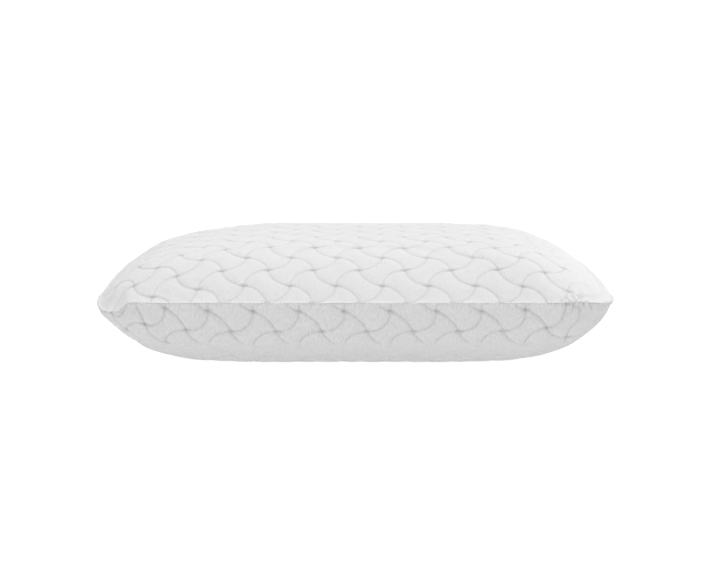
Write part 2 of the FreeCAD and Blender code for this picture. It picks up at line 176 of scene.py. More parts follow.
class NodeTree:
    """A material's node tree with short calls for its usual parts."""

    def __init__(self, name: str) -> None:
        """Start a material with one Principled shader."""
        self.material = bpy.data.materials.new(name)
        self.material.use_nodes = True
        self.tree = self.material.node_tree
        self.shader = self.tree.nodes["Principled BSDF"]

    def node(self, kind: str, inputs: Optional[dict] = None, **settings: object) -> bpy.types.Node:
        """Add a node.

        Args:
            kind: Blender's node type.
            inputs: values or sockets for its inputs, by name or index.
            settings: properties of the node.

        Returns:
            The node.
        """
        node = self.tree.nodes.new(kind)
        for key, value in settings.items():
            setattr(node, key, value)
        for key, value in (inputs or {}).items():
            self.feed(node.inputs[key], value)
        return node

    def feed(self, socket: bpy.types.NodeSocket, value: object) -> None:
        """Set a socket, or link another socket into it."""
        if isinstance(value, bpy.types.NodeSocket):
            self.tree.links.new(value, socket)
        else:
            socket.default_value = value

    def place(self) -> bpy.types.NodeSocket:
        """Place in the piece's own coordinates."""
        return self.node("ShaderNodeTexCoord").outputs["Object"]

    def math(self, operation: str, *values: object) -> bpy.types.NodeSocket:
        """Arithmetic on sockets or numbers."""
        node = self.node("ShaderNodeMath", operation=operation)
        for slot, value in enumerate(values):
            self.feed(node.inputs[slot], value)
        return node.outputs[0]

    def plus(self, base: object, value: object, share: float) -> bpy.types.NodeSocket:
        """A base with a share of a value added to it."""
        return self.math("ADD", base, self.math("MULTIPLY", value, share))

    def noise(self, place: bpy.types.NodeSocket, scale: float, detail: float = 2.0,
              rough: float = 0.5) -> bpy.types.NodeSocket:
        """Noise value at a place."""
        node = self.node("ShaderNodeTexNoise", {"Vector": place, "Scale": scale, "Detail": detail,
                                                "Roughness": rough})
        return node.outputs[0]

    def stretched(self, place: bpy.types.NodeSocket,
                  scale: tuple[float, float, float]) -> bpy.types.NodeSocket:
        """A place scaled for a pattern."""
        return self.node("ShaderNodeMapping", {"Vector": place, "Scale": scale}).outputs[0]

    def tint(self, amount: bpy.types.NodeSocket, dark: tuple, light: tuple,
             low: float = 0.0, high: float = 1.0) -> bpy.types.NodeSocket:
        """Colour between dark and light as amount runs from low to high."""
        ramp = self.node("ShaderNodeValToRGB", {"Fac": amount})
        ramp.color_ramp.elements[0].position = low
        ramp.color_ramp.elements[1].position = high
        ramp.color_ramp.elements[0].color = (*dark, 1.0)
        ramp.color_ramp.elements[1].color = (*light, 1.0)
        return ramp.outputs[0]

    def bump(self, height: bpy.types.NodeSocket, distance: float, strength: float = 1.0,
             under: Optional[bpy.types.NodeSocket] = None) -> bpy.types.NodeSocket:
        """Raise the surface by a height, on top of another bump."""
        inputs = {"Height": height, "Distance": distance, "Strength": strength}
        if under is not None:
            inputs["Normal"] = under
        return self.node("ShaderNodeBump", inputs).outputs[0]

    def finish(self, color: object, roughness: float, normal: Optional[bpy.types.NodeSocket] = None,
               sheen: float = 0.0, metallic: float = 0.0) -> bpy.types.Material:
        """Connect the shader and return the material.

        Args:
            color: colour or socket.
            roughness: how matt it is.
            normal: socket of the last bump.
            sheen: soft fibre sheen.
            metallic: 1 for bare metal.

        Returns:
            The material.
        """
        self.feed(self.shader.inputs["Base Color"], color)
        self.shader.inputs["Roughness"].default_value = roughness
        self.shader.inputs["Sheen Weight"].default_value = sheen
        self.shader.inputs["Sheen Roughness"].default_value = 0.6
        self.shader.inputs["Metallic"].default_value = metallic
        if normal is not None:
            self.feed(self.shader.inputs["Normal"], normal)
        return self.material


@dataclass(frozen=True)
class QuiltedKnit:
    """White quilted jersey of the cover: fine wales and fibre mottle, the mottle raised in colour on the
    bottom copy as painted raking light, and channels and knot dimples greyed partly by their thread and
    partly by painted shade in those sunk lines.
    """

    name: str = "quilted_knit"
    # Strength of the fibre streaks in colour and bump; on the bottom copy its colour part is partly painted
    # raking light.
    mottle: float = 1.0
    light: tuple[float, float, float] = (0.600, 0.600, 0.602)
    # Grey of the channels and knot dimples: partly their thread, partly painted shade in the sunk lines.
    channel: tuple[float, float, float] = (0.36, 0.36, 0.365)
    wale: float = 1.6 * MM
    course: float = 1.3 * MM

    def build(self) -> bpy.types.Material:
        """Make the material, laid out on the cloth's own UV map in metres."""
        tree = NodeTree(self.name)
        cloth = tree.node("ShaderNodeUVMap", uv_map="cloth").outputs[0]
        groove = tree.node("ShaderNodeAttribute", attribute_name="groove").outputs["Fac"]
        parts = tree.node("ShaderNodeSeparateXYZ", {0: cloth})
        drift = tree.math("MULTIPLY", tree.noise(cloth, 90.0), 3.2 * MM)
        across = tree.math("MULTIPLY", tree.math("ADD", parts.outputs[0], drift), 2 * math.pi / self.wale)
        along = tree.math("MULTIPLY", tree.math("ADD", parts.outputs[1], drift), 2 * math.pi / self.course)
        wales = tree.math("SINE", across)
        courses = tree.math("SINE", tree.plus(along, wales, 1.2))
        streak = tree.noise(tree.stretched(cloth, (520.0, 190.0, 1.0)), 1.0, 3.0, 0.6)
        fuzz = tree.noise(cloth, 1500.0, 3.0, 0.7)
        lumps = tree.noise(cloth, 160.0, 2.0, 0.5)
        knit = tree.plus(tree.math("MULTIPLY", wales, 0.30), courses, 0.16)
        knit = tree.plus(tree.plus(knit, streak, 3.4 * self.mottle), fuzz, 0.8)
        # Painted shade, together with the thread's grey, darkens the colour in the channels and knot
        # dimples.
        shade = tree.math("SUBTRACT", 0.90, tree.math("MULTIPLY", groove, 0.80))
        # Fibre tone that differs at random, scaled by mottle, which the bottom copy raises partly as
        # painted raking light.
        shade = tree.plus(shade, tree.math("SUBTRACT", streak, 0.5), 0.50 * self.mottle)
        shade = tree.plus(shade, tree.math("SUBTRACT", lumps, 0.5), 0.10)
        color = tree.tint(shade, self.channel, self.light, 0.0, 1.0)
        normal = tree.bump(lumps, 0.9 * MM * self.mottle, 0.6)
        normal = tree.bump(knit, 0.30 * MM, 0.9, normal)
        return tree.finish(color, 0.92, normal, sheen=0.12)


@dataclass(frozen=True)
class PlainCloth:
    """Smooth woven or knitted cloth: jersey, tape or satin."""

    name: str
    light: tuple[float, float, float]
    thread: float = 0.5 * MM
    roughness: float = 0.85
    sheen: float = 0.15

    def build(self) -> bpy.types.Material:
        """Make the material from two crossed sets of fine ribs."""
        tree = NodeTree(self.name)
        place = tree.place()
        parts = tree.node("ShaderNodeSeparateXYZ", {0: place})
        step = 2 * math.pi / self.thread
        ribs = tree.math("SINE", tree.math("MULTIPLY", parts.outputs[0], step))
        rows = tree.math("SINE", tree.math("MULTIPLY", parts.outputs[2], step))
        weave = tree.math("MULTIPLY", ribs, rows)
        mottle = tree.noise(place, 240.0, 3.0)
        color = tree.tint(mottle, darker(self.light, 0.93), self.light, 0.2, 0.7)
        return tree.finish(color, self.roughness, tree.bump(weave, self.thread * 0.25, 0.6), self.sheen)


@dataclass(frozen=True)
class SpunThread:
    """Twisted polyester sewing thread."""

    light: tuple[float, float, float] = (0.74, 0.74, 0.74)

    def build(self) -> bpy.types.Material:
        """Make the material with a slanted twist."""
        tree = NodeTree("spun_thread")
        place = tree.place()
        parts = tree.node("ShaderNodeSeparateXYZ", {0: place})
        slant = tree.math("ADD", parts.outputs[0], tree.math("ADD", parts.outputs[1], parts.outputs[2]))
        twist = tree.math("SINE", tree.math("MULTIPLY", slant, 2 * math.pi / (0.35 * MM)))
        color = tree.tint(tree.noise(place, 900.0), darker(self.light, 0.9), self.light)
        return tree.finish(color, 0.7, tree.bump(twist, 0.06 * MM, 0.7), sheen=0.2)


@dataclass(frozen=True)
class OpenFoam:
    """Moulded polyurethane foam with a fine open cell."""

    light: tuple[float, float, float] = (0.84, 0.82, 0.74)

    def build(self) -> bpy.types.Material:
        """Make the material from small cells."""
        tree = NodeTree("open_foam")
        place = tree.place()
        cells = tree.node("ShaderNodeTexVoronoi", {"Vector": place, "Scale": 900.0}).outputs["Distance"]
        color = tree.tint(cells, darker(self.light, 0.8), self.light, 0.05, 0.5)
        return tree.finish(color, 0.95, tree.bump(cells, 0.3 * MM, 0.6))


@dataclass(frozen=True)
class WhiteEnamel:
    """Glossy enamel on the die-cast slider, pull and stops, worn thin at handled places."""

    light: tuple[float, float, float] = (0.82, 0.82, 0.82)

    def build(self) -> bpy.types.Material:
        """Make the material with a faint orange-peel and soft wear."""
        tree = NodeTree("white_enamel")
        place = tree.place()
        wear = tree.noise(place, 420.0, 4.0, 0.65)
        color = tree.tint(wear, darker(self.light, 0.82), self.light, 0.3, 0.5)
        return tree.finish(color, 0.32, tree.bump(tree.noise(place, 1300.0), 0.03 * MM, 0.5))


@dataclass(frozen=True)
class NylonTooth:
    """Slightly translucent moulded nylon of the zip's teeth."""

    light: tuple[float, float, float] = (0.82, 0.82, 0.81)

    def build(self) -> bpy.types.Material:
        """Make the material with faint drawn lines."""
        tree = NodeTree("nylon_tooth")
        place = tree.place()
        lines = tree.noise(tree.stretched(place, (300.0, 300.0, 2600.0)), 1.0)
        color = tree.tint(lines, darker(self.light, 0.9), self.light)
        return tree.finish(color, 0.45, tree.bump(lines, 0.04 * MM, 0.5))


@dataclass(frozen=True)
class StudioPaper:
    """Seamless pale paper of the floor and the backdrop."""

    light: tuple[float, float, float] = (0.97, 0.97, 0.97)
    glow: float = 0.0

    def build(self) -> bpy.types.Material:
        """Make the material with the faintest tooth, and with the glow that keeps it near white."""
        tree = NodeTree("studio_paper")
        place = tree.place()
        tooth = tree.noise(place, 60.0)
        color = tree.tint(tooth, darker(self.light, 0.99), self.light)
        tree.shader.inputs["Emission Color"].default_value = (1.0, 1.0, 1.0, 1.0)
        tree.shader.inputs["Emission Strength"].default_value = self.glow
        return tree.finish(color, 0.9)


# ---------------------------------------------------------------- the swelled shape

@dataclass(frozen=True)
class Swell:
    """How one half of the cover swells: size = (1 - height ** (1 / shoulder)) ** (1 / fullness)."""

    end: tuple[float, float]
    side: tuple[float, float]
    keep: float
    square: float


@dataclass
class PillowShape:
    """The pillow's outer surface, laid out as two flat-cut panels drawn over it.

    A point of a panel is given by its place on the flat cloth, from the middle of the panel. Across
    the middle the cloth keeps its own lengths, and what it has too much or too little of is eased
    in towards the ends and sides.
    """

    half_x: float
    half_y: float
    seam_z: float
    crown: float
    square_seam: float = 8.2
    swells: dict = field(default_factory=lambda: {
        Panel.TOP: Swell((4.08, 0.93), (4.27, 1.18), 0.998, 2.4),
        Panel.BOTTOM: Swell((4.90, 0.63), (3.90, 0.405), 0.985, 5.7)})
    steps: int = 1600
    ease: int = 6

    def __post_init__(self) -> None:
        """Measure the cloth's length from the middle of each panel to each level ring."""
        self.tables = {panel: self._table(panel) for panel in Panel}

    def _ring(self, panel: Panel, level: np.ndarray) -> tuple[np.ndarray, np.ndarray, np.ndarray]:
        """Half length, half width and squareness of the ring at a level, 0 at the seam to 1."""
        swell = self.swells[panel]
        height = swell.keep * level
        share_x = (1 - height ** (1 / swell.end[1])) ** (1 / swell.end[0])
        share_y = (1 - height ** (1 / swell.side[1])) ** (1 / swell.side[0])
        square = self.square_seam + (swell.square - self.square_seam) * (1 - share_y)
        return self.half_x * share_x, self.half_y * share_y, square

    def _table(self, panel: Panel) -> dict[str, np.ndarray]:
        """Levels with their rings and their distances along the cloth."""
        t = np.linspace(0.0, 1.0, self.steps)
        level = 1 - (1 - t) ** 2 if panel is Panel.TOP else t * t * (3 - 2 * t)
        size_x, size_y, square = self._ring(panel, level)
        depth = self.crown if panel is Panel.TOP else self.seam_z
        rise = depth * level
        def reach(size: np.ndarray) -> np.ndarray:
            """Cloth from the middle out to each ring."""
            runs = np.hypot(np.diff(size), np.diff(rise))
            return size[-1] + np.append(np.cumsum(runs[::-1])[::-1], 0.0)
        return {"level": level, "size_x": size_x, "size_y": size_y, "square": square,
                "reach_x": reach(size_x), "reach_y": reach(size_y),
                "z": self.seam_z + panel.value * rise}

    def reach(self, panel: Panel) -> tuple[float, float]:
        """Cloth from the middle of a panel to the seam, along X and along Y."""
        table = self.tables[panel]
        return float(table["reach_x"][0]), float(table["reach_y"][0])

    def flat(self, panel: Panel, p: np.ndarray, q: np.ndarray) -> tuple[np.ndarray, np.ndarray]:
        """Cloth places of a net whose edge, at 1 in either direction, is the seam.

        Args:
            panel: which panel.
            p: net coordinate along X, -1 to 1.
            q: the same along Y.

        Returns:
            Cloth X and Y in metres.
        """
        outer = np.maximum(np.abs(p), np.abs(q))
        norm = (np.abs(p) ** self.square_seam + np.abs(q) ** self.square_seam) ** (1 / self.square_seam)
        pull = 1 + (outer / np.maximum(norm, 1e-9) - 1) * smooth_step(0.35, 1.0, outer)
        table = self.tables[panel]
        laid = []
        for share, axis in ((p * pull, "x"), (q * pull, "y")):
            size, reach = table["size_" + axis][0], table["reach_" + axis][0]
            laid.append(share * size + np.sign(share) * (reach - size) * np.abs(share) ** self.ease)
        return laid[0], laid[1]

    def share(self, laid: np.ndarray, size: np.ndarray, reach: np.ndarray) -> np.ndarray:
        """Share of a ring's half size that a cloth length comes to."""
        extra = reach - size
        share = np.clip(laid / reach, 0.0, 1.4)
        for _ in range(7):
            slope = size + self.ease * extra * share ** (self.ease - 1)
            share = share - (size * share + extra * share ** self.ease - laid) / np.maximum(slope, 1e-6)
            share = np.clip(share, 0.0, 1.6)
        return share

    def place(self, panel: Panel, x: np.ndarray, y: np.ndarray) -> np.ndarray:
        """Where points of the flat panel lie on the pillow.

        Args:
            panel: which panel.
            x: distance from the panel's middle along X on the cloth.
            y: the same along Y.

        Returns:
            One row of X, Y and Z for each point.
        """
        table = self.tables[panel]
        row = np.arange(self.steps, dtype=float)
        low, high = np.zeros(len(x)), np.full(len(x), self.steps - 1.0)
        def at(key: str, rows: np.ndarray) -> np.ndarray:
            """Table column between its rows."""
            return np.interp(rows, row, table[key])
        def shares(rows: np.ndarray) -> tuple[np.ndarray, np.ndarray]:
            """Shares of the ring's half length and half width at which the points would lie."""
            return (self.share(np.abs(x), at("size_x", rows), at("reach_x", rows)),
                    self.share(np.abs(y), at("size_y", rows), at("reach_y", rows)))
        for _ in range(24):
            middle = (low + high) / 2
            share_x, share_y = shares(middle)
            square = at("square", middle)
            outside = share_x ** square + share_y ** square > 1.0
            high = np.where(outside, middle, high)
            low = np.where(outside, low, middle)
        level = (low + high) / 2
        share_x, share_y = shares(level)
        across = np.sign(x) * share_x * at("size_x", level)
        along = np.sign(y) * share_y * at("size_y", level)
        return np.stack([across, along, at("z", level)], axis=1)


# ---------------------------------------------------------------- the quilting

@dataclass(frozen=True)
class Quilting:
    """Interlocking curved tiles on a square lattice turned to stand on its corners.

    The shift places the pattern's origin: along X from the panel's middle, and back from its front seam.
    """

    shift: tuple[float, float] = (4.0 * MM, 2.2 * MM)
    row: float = 26.03 * MM
    bows: tuple[float, float] = (0.85, 0.77)
    channel_width: float = 0.95 * MM
    channel_depth: float = 0.75 * MM
    puff: float = 1.15 * MM
    puff_reach: float = 7.5 * MM
    knot: float = 2.2 * MM
    knot_depth: float = 0.7 * MM

    def _gap(self, u: np.ndarray, v: np.ndarray, sign: float, radius: float) -> np.ndarray:
        """Distance from the nearest channel of one family, in tile sides.

        Args:
            u: coordinate across the family's channels.
            v: coordinate along them.
            sign: which way the family's first arc bows.
            radius: radius of the family's arcs, in tile sides.

        Returns:
            The distance, never negative.
        """
        start = np.floor(v)
        rise = np.sqrt(radius ** 2 - (v - start - 0.5) ** 2)
        bow = rise - math.sqrt(radius ** 2 - 0.25)
        slope = (v - start - 0.5) / rise
        best = np.full(u.shape, 9.0)
        for step in (-1, 0, 1):
            line = np.round(u) + step
            side = np.where((line + start) % 2 == 0, sign, -sign)
            best = np.minimum(best, np.abs(u - line - side * bow))
        return best / np.sqrt(1 + slope ** 2)

    def relief(self, x: np.ndarray, y: np.ndarray) -> tuple[np.ndarray, np.ndarray]:
        """Height of the quilted cloth, and how much of a channel each point is in.

        Args:
            x: along a row of knots, metres, 0 at a knot of an even row.
            y: across the rows, metres, 0 on an even row.

        Returns:
            Heights in metres, and channel shares from 0 to 1.
        """
        u, v = (x + y) / (2 * self.row), (y - x) / (2 * self.row)
        side = self.row * math.sqrt(2.0)
        gap = np.minimum(self._gap(u, v, 1.0, self.bows[0]), self._gap(v, u, -1.0, self.bows[1])) * side
        du, dv = u - np.round(u), v - np.round(v)
        knot = np.hypot((du - dv) * 0.52, (du + dv) * 0.95) * self.row
        channel = np.exp(-((gap / self.channel_width) ** 2))
        dimple = np.exp(-((knot / self.knot) ** 2))
        swell = 1 - np.exp(-((gap / self.puff_reach) ** 1.3))
        height = self.puff * swell - self.channel_depth * channel - self.knot_depth * dimple
        # The second value greys the knit's colour: partly the thread in the channels and knots, partly
        # painted shade in those sunk lines.
        return height, np.clip(channel * 0.32 + dimple * 0.75, 0.0, 1.0)


# ---------------------------------------------------------------- the cover

@dataclass(frozen=True)
class Pucker:
    """A gathered spot of the seam: pleats that cross it and die away above and below it."""

    x: float
    side: int
    width: float
    pitch: float
    depth: float
    reach: tuple[float, float]


@dataclass(frozen=True)
class Slit:
    """The opening for the zip: the bottom panel's rear edge, hemmed below the seam."""

    half: float
    drop: float
    ease: float = 4 * MM
    hem: float = 3.5 * MM

    def depth(self, x: np.ndarray) -> np.ndarray:
        """How far the hemmed edge stands below the seam at each x."""
        return self.drop * (1 - smooth_step(self.half - self.ease, self.half, np.abs(x)))


@dataclass(frozen=True)
class Settling:
    """How the pillow lies: one full shoulder, one slack, one front corner rolled and one let down."""

    shape: PillowShape
    shoulders: tuple[tuple[float, float, float], ...] = ((0.20, 0.05, 2.4 * MM), (-0.20, 0.06, -2.2 * MM))
    sink: float = 0.4 * MM
    left_droop: float = 4.0 * MM
    left_reach: tuple[float, float, float] = (0.038, 0.10, 0.034)
    right_droop: float = 4.5 * MM
    roll: tuple[float, float, float] = (-1.0 * MM, -3.5 * MM, -9.5 * MM)
    roll_reach: tuple[float, float] = (9 * MM, 15 * MM)
    hollow: float = 1.2 * MM

    def apply(self, places: np.ndarray) -> np.ndarray:
        """Let points down to where they lie.

        Args:
            places: points of the cover or of the thread that holds it together.

        Returns:
            The points where they come to lie.
        """
        shape = self.shape
        x, y, z = places.T
        above = z - shape.seam_z
        rise = sum(height * bell(x, middle, width) for middle, width, height in self.shoulders) - self.sink
        reach_x, reach_y, reach_z = self.left_reach
        left = bell(x, -shape.half_x, reach_x) * bell(y, -shape.half_y, reach_y) * bell(above, 0.0, reach_z)
        right = smooth_step(0.250, 0.300, x) * smooth_step(-0.010, 0.0, above)
        right = right * (1 - smooth_step(0.004, 0.022, above)) * smooth_step(0.03, 0.12, -y)
        out = places + self._rolled(x, y, above)[:, None] * np.array(self.roll)
        out[:, 1] += self.hollow * bell(x, -0.248, 0.016) * bell(above, -0.009, 0.008) * (y < 0)
        out[:, 2] += rise * smooth_step(0.0, shape.crown, above)
        out[:, 2] -= self.left_droop * left + self.right_droop * right
        out[:, 2] += self._underside(x, y) * (1 - smooth_step(0.030, 0.075, z))
        return out

    def _underside(self, x: np.ndarray, y: np.ndarray) -> np.ndarray:
        """How far the underside lifts off at the two ends and along the front."""
        right = 1.2 * MM * smooth_step(0.19, 0.26, x) + 1.0 * MM * smooth_step(0.27, 0.295, x)
        return right + 2.6 * MM * smooth_step(0.235, 0.280, -x) + 1.4 * MM * smooth_step(0.10, 0.17, -y)

    def _rolled(self, x: np.ndarray, y: np.ndarray, above: np.ndarray) -> np.ndarray:
        """Share of the roll that lays the front left corner over its own seam, from 0 to 1."""
        span = smooth_step(0.259, 0.271, -x) * (1 - 0.65 * smooth_step(0.288, 0.303, -x))
        reach = np.where(above > 0, *self.roll_reach)
        return span * bell(above, 0.0, reach) * smooth_step(0.02, 0.09, -y)


@dataclass
class QuiltedCover:
    """The cover's two padded panels, sewn together round the edge, with a slit for the zip."""

    shape: PillowShape
    finishes: dict[Panel, bpy.types.Material]
    slit: Slit
    across: int = 132
    along: int = 96
    wall: float = 2.8 * MM
    stitch: float = 4.2 * MM
    tuck: float = 0.36 * MM
    tuck_reach: float = 3.4 * MM
    slack_reach: float = 11 * MM
    fan: float = 16 * MM
    sunk: float = 0.7 * MM
    stretch: float = 1.018
    corner_draw: float = 13 * MM
    unevenness: tuple[tuple[float, float, int], ...] = ((0.50 * MM, 55 * MM, 21), (0.22 * MM, 19 * MM, 31))
    quilting: dict = field(default_factory=lambda: {
        Panel.TOP: Quilting(),
        Panel.BOTTOM: Quilting(shift=(13.8 * MM, 35.5 * MM), bows=(1.10, 0.67), puff=2.0 * MM,
                               channel_depth=1.1 * MM)})
    puckers: tuple[Pucker, ...] = (
        Pucker(0.252, -1, 0.015, 5.6 * MM, 1.50 * MM, (15 * MM, 24 * MM)),
        Pucker(0.264, -1, 0.012, 9.0 * MM, 1.10 * MM, (12 * MM, 30 * MM)),
        Pucker(-0.236, -1, 0.016, 7.0 * MM, 0.40 * MM, (6 * MM, 7 * MM)),
        Pucker(-0.205, -1, 0.030, 9.0 * MM, 0.30 * MM, (7 * MM, 8 * MM)),
        Pucker(0.170, -1, 0.025, 8.0 * MM, 0.30 * MM, (8 * MM, 8 * MM)),
        Pucker(0.240, 1, 0.015, 5.5 * MM, 0.80 * MM, (9 * MM, 9 * MM)),
        Pucker(-0.262, 1, 0.014, 6.0 * MM, 0.80 * MM, (9 * MM, 9 * MM)))
    settling: Settling = field(init=False)

    def __post_init__(self) -> None:
        """Work out how this cover settles."""
        self.settling = Settling(self.shape)

    def _steps(self, count: int, tight: float = 0.45) -> np.ndarray:
        """Steps from -1 to 1 that close up towards both ends."""
        t = np.linspace(-1.0, 1.0, count + 1)
        return t * (1 - tight) + tight * np.sin(t * math.pi / 2)

    def cage(self, panel: Panel) -> bmesh.types.BMesh:
        """Net of quads over one panel, with its cloth places as a UV map.

        Args:
            panel: which panel.

        Returns:
            The net, shaped over the pillow.
        """
        bm = bmesh.new()
        bmesh.ops.create_grid(bm, x_segments=self.across, y_segments=self.along, size=1.0)
        bm.verts.index_update()
        even = np.array([v.co[:2] for v in bm.verts])
        p = np.interp(even[:, 0], np.linspace(-1, 1, self.across + 1), self._steps(self.across))
        q = np.interp(even[:, 1], np.linspace(-1, 1, self.along + 1), self._steps(self.along))
        x, y = self.shape.flat(panel, p, q)
        if panel is Panel.BOTTOM:
            y = y - self.slit.depth(x) * smooth_step(0.80, 1.0, q)
        for vert, place in zip(bm.verts, self.shape.place(panel, x, y)):
            vert.co = place
        layer = bm.loops.layers.uv.new("cloth")
        for face in bm.faces:
            for loop in face.loops:
                loop[layer].uv = (x[loop.vert.index], y[loop.vert.index])
        if panel is Panel.BOTTOM:
            bmesh.ops.reverse_faces(bm, faces=bm.faces)
        bm.normal_update()
        return bm

    def inflate(self, piece: bpy.types.Object, cap: float = 1.0 * MM) -> None:
        """Blow the panel up from inside with its seam held, so that it takes a sewn cloth's own give.

        Args:
            piece: the panel's net, already in shape.
            cap: the farthest that any point may end up from that shape.
        """
        mesh = piece.data
        target, normals = read_points(mesh), read_normals(mesh)
        net = bmesh.new()
        net.from_mesh(mesh)
        rim = np.array([vert.is_boundary for vert in net.verts])
        net.free()
        write_points(mesh, target - normals * np.where(rim, 0.0, 3 * MM)[:, None])
        held = piece.vertex_groups.new(name="seam")
        held.add([int(i) for i in np.flatnonzero(rim)], 1.0, "REPLACE")
        cloth = piece.modifiers.new("cloth", "CLOTH")
        settings = cloth.settings
        settings.quality = 4
        settings.mass = 0.2
        settings.tension_stiffness = settings.compression_stiffness = 12.0
        settings.shear_stiffness = 6.0
        settings.bending_stiffness = 0.4
        settings.vertex_group_mass = "seam"
        settings.use_pressure = True
        settings.uniform_pressure_force = 4.0
        settings.shrink_min = -0.02
        settings.effector_weights.gravity = 0.0
        cloth.point_cache.frame_start = 1
        cloth.point_cache.frame_end = 20
        scene = bpy.context.scene
        for frame_number in range(1, 21):
            scene.frame_set(frame_number)
            graph = bpy.context.evaluated_depsgraph_get()
            graph.update()
        swell = ((read_points(piece.evaluated_get(graph).data) - target) * normals).sum(axis=1)
        middle = float(np.median(swell[~rim]))
        swell = np.where(rim, 0.0, np.clip(swell - middle, -cap, cap))
        piece.modifiers.clear()
        piece.vertex_groups.clear()
        scene.frame_set(1)
        write_points(mesh, target + normals * swell[:, None])
        LOG.info("%s: cloth settled %.2f mm in the middle, %.2f mm uneven", piece.name,
                 middle / MM, float(swell.std()) / MM)

    def _refine(self, piece: bpy.types.Object) -> None:
        """Swap the panel's net for a fine smooth mesh."""
        modifier = piece.modifiers.new("fine", "SUBSURF")
        modifier.levels = modifier.render_levels = 2
        modifier.boundary_smooth = "ALL"
        graph = bpy.context.evaluated_depsgraph_get()
        mesh = bpy.data.meshes.new_from_object(piece.evaluated_get(graph))
        piece.modifiers.clear()
        old, piece.data = piece.data, mesh
        bpy.data.meshes.remove(old)
        mesh.name = piece.name

    def _cloth_places(self, mesh: bpy.types.Mesh) -> np.ndarray:
        """Cloth place of each vertex, from the UV map."""
        uv = np.empty(len(mesh.loops) * 2, np.float32)
        mesh.uv_layers["cloth"].data.foreach_get("uv", uv)
        owner = np.empty(len(mesh.loops), np.int32)
        mesh.loops.foreach_get("vertex_index", owner)
        places = np.empty((len(mesh.vertices), 2))
        places[owner] = uv.reshape(-1, 2)
        return places

    def _inward(self, panel: Panel, x: np.ndarray, y: np.ndarray) -> np.ndarray:
        """Cloth from the panel's sewn or hemmed edge to each cloth place."""
        table = self.shape.tables[panel]
        reach_x, reach_y = self.shape.reach(panel)
        size_x, size_y = float(table["size_x"][0]), float(table["size_y"][0])
        laid_x = self.shape.share(np.abs(x), np.float64(size_x), np.float64(reach_x))
        laid_y = self.shape.share(np.abs(y), np.float64(size_y), np.float64(reach_y))
        square = self.shape.square_seam
        share = (laid_x ** square + laid_y ** square) ** (1 / square)
        inward = reach_y - size_y * share - (reach_y - size_y) * share ** self.shape.ease
        if panel is Panel.BOTTOM:
            inward = inward - self.slit.depth(x) * (y > 0)
        return np.maximum(inward, 0.0)

    def _seam_run(self, places: np.ndarray) -> np.ndarray:
        """How far along the seam each vertex is, differing between the four sides."""
        x, y = places[:, 0], places[:, 1]
        on_end = np.abs(x) / self.shape.half_x > np.abs(y) / self.shape.half_y
        return np.where(on_end, y + np.sign(x) * 7.0, x + np.sign(y) * 3.0)

    def _gathers(self, panel: Panel, places: np.ndarray, inward: np.ndarray) -> np.ndarray:
        """Puckers along the seam: a tuck at each stitch, slack between, and the gathered spots."""
        run = self._seam_run(places)
        near = np.exp(-((inward / self.tuck_reach) ** 1.5))
        far = np.exp(-((inward / self.slack_reach) ** 1.5))
        pull = 0.75 + 0.45 * cloth_noise(run, run * 0, 9 * MM, 3)
        lift = near * self.tuck * np.cos(2 * math.pi * run / self.stitch) * pull
        lift += far * 0.42 * MM * cloth_noise(run, inward * 0.25, 5.5 * MM, 5 + panel.value)
        lift += far * 0.40 * MM * cloth_noise(run, inward * 0.2, 14 * MM, 15 + panel.value)
        for pucker in self.puckers:
            beside = bell(places[:, 0], pucker.x, pucker.width) * (np.sign(places[:, 1]) == pucker.side)
            fade = bell(inward, 0.0, pucker.reach[0] if panel is Panel.TOP else pucker.reach[1])
            lean = (places[:, 0] - pucker.x) / (1 + inward / self.fan)
            sway = 0.9 * cloth_noise(lean, inward, 6 * MM, 9)
            lift += beside * fade * pucker.depth * np.cos(2 * math.pi * lean / pucker.pitch + sway)
        return lift

    def _under_zip(self, x: np.ndarray, y: np.ndarray, inward: np.ndarray) -> np.ndarray:
        """Share of the flattened strip that the zip's pull sweeps over, on the bottom panel."""
        near = (y > 0) * (1 - smooth_step(40 * MM, 55 * MM, inward))
        return near * (1 - smooth_step(self.slit.half, self.slit.half + 25 * MM, np.abs(x)))

    def _pattern(self, panel: Panel, side: np.ndarray, x: np.ndarray, y: np.ndarray,
                 inward: np.ndarray) -> tuple[np.ndarray, np.ndarray, np.ndarray]:
        """Lay the quilting out on a panel and let it fade where the cloth is drawn smooth.

        Args:
            panel: which panel.
            side: X of the points on the pillow.
            x: cloth X of the points.
            y: cloth Y of the points.
            inward: cloth from the points to the seam.

        Returns:
            Heights, channel shares and strengths, one for each point.
        """
        quilting, back = self.quilting[panel], y + self.shape.reach(panel)[1]
        along, across = quilting.shift
        if panel is Panel.TOP:
            drawn = self.corner_draw * smooth_step(0.14, 0.24, -x) * bell(back, 0.0, 0.07)
            wide = self.stretch + 0.02 * smooth_step(0.08, 0.24, x)
            height, groove = quilting.relief((x - along) / wide, back + drawn - across)
            strength = 1 - 0.80 * smooth_step(0.238, 0.266, side) - 0.60 * smooth_step(0.275, 0.300, -side)
            return height, groove, strength
        height, groove = quilting.relief(x - along, across - back)
        strength = 1 - 0.86 * smooth_step(51 * MM, 60 * MM, inward)
        strength += 0.35 * smooth_step(75 * MM, 110 * MM, inward)
        strength *= 1 - 0.85 * smooth_step(0.246, 0.266, side)
        return height, groove, strength * (1 - 0.6 * self._under_zip(x, y, inward))

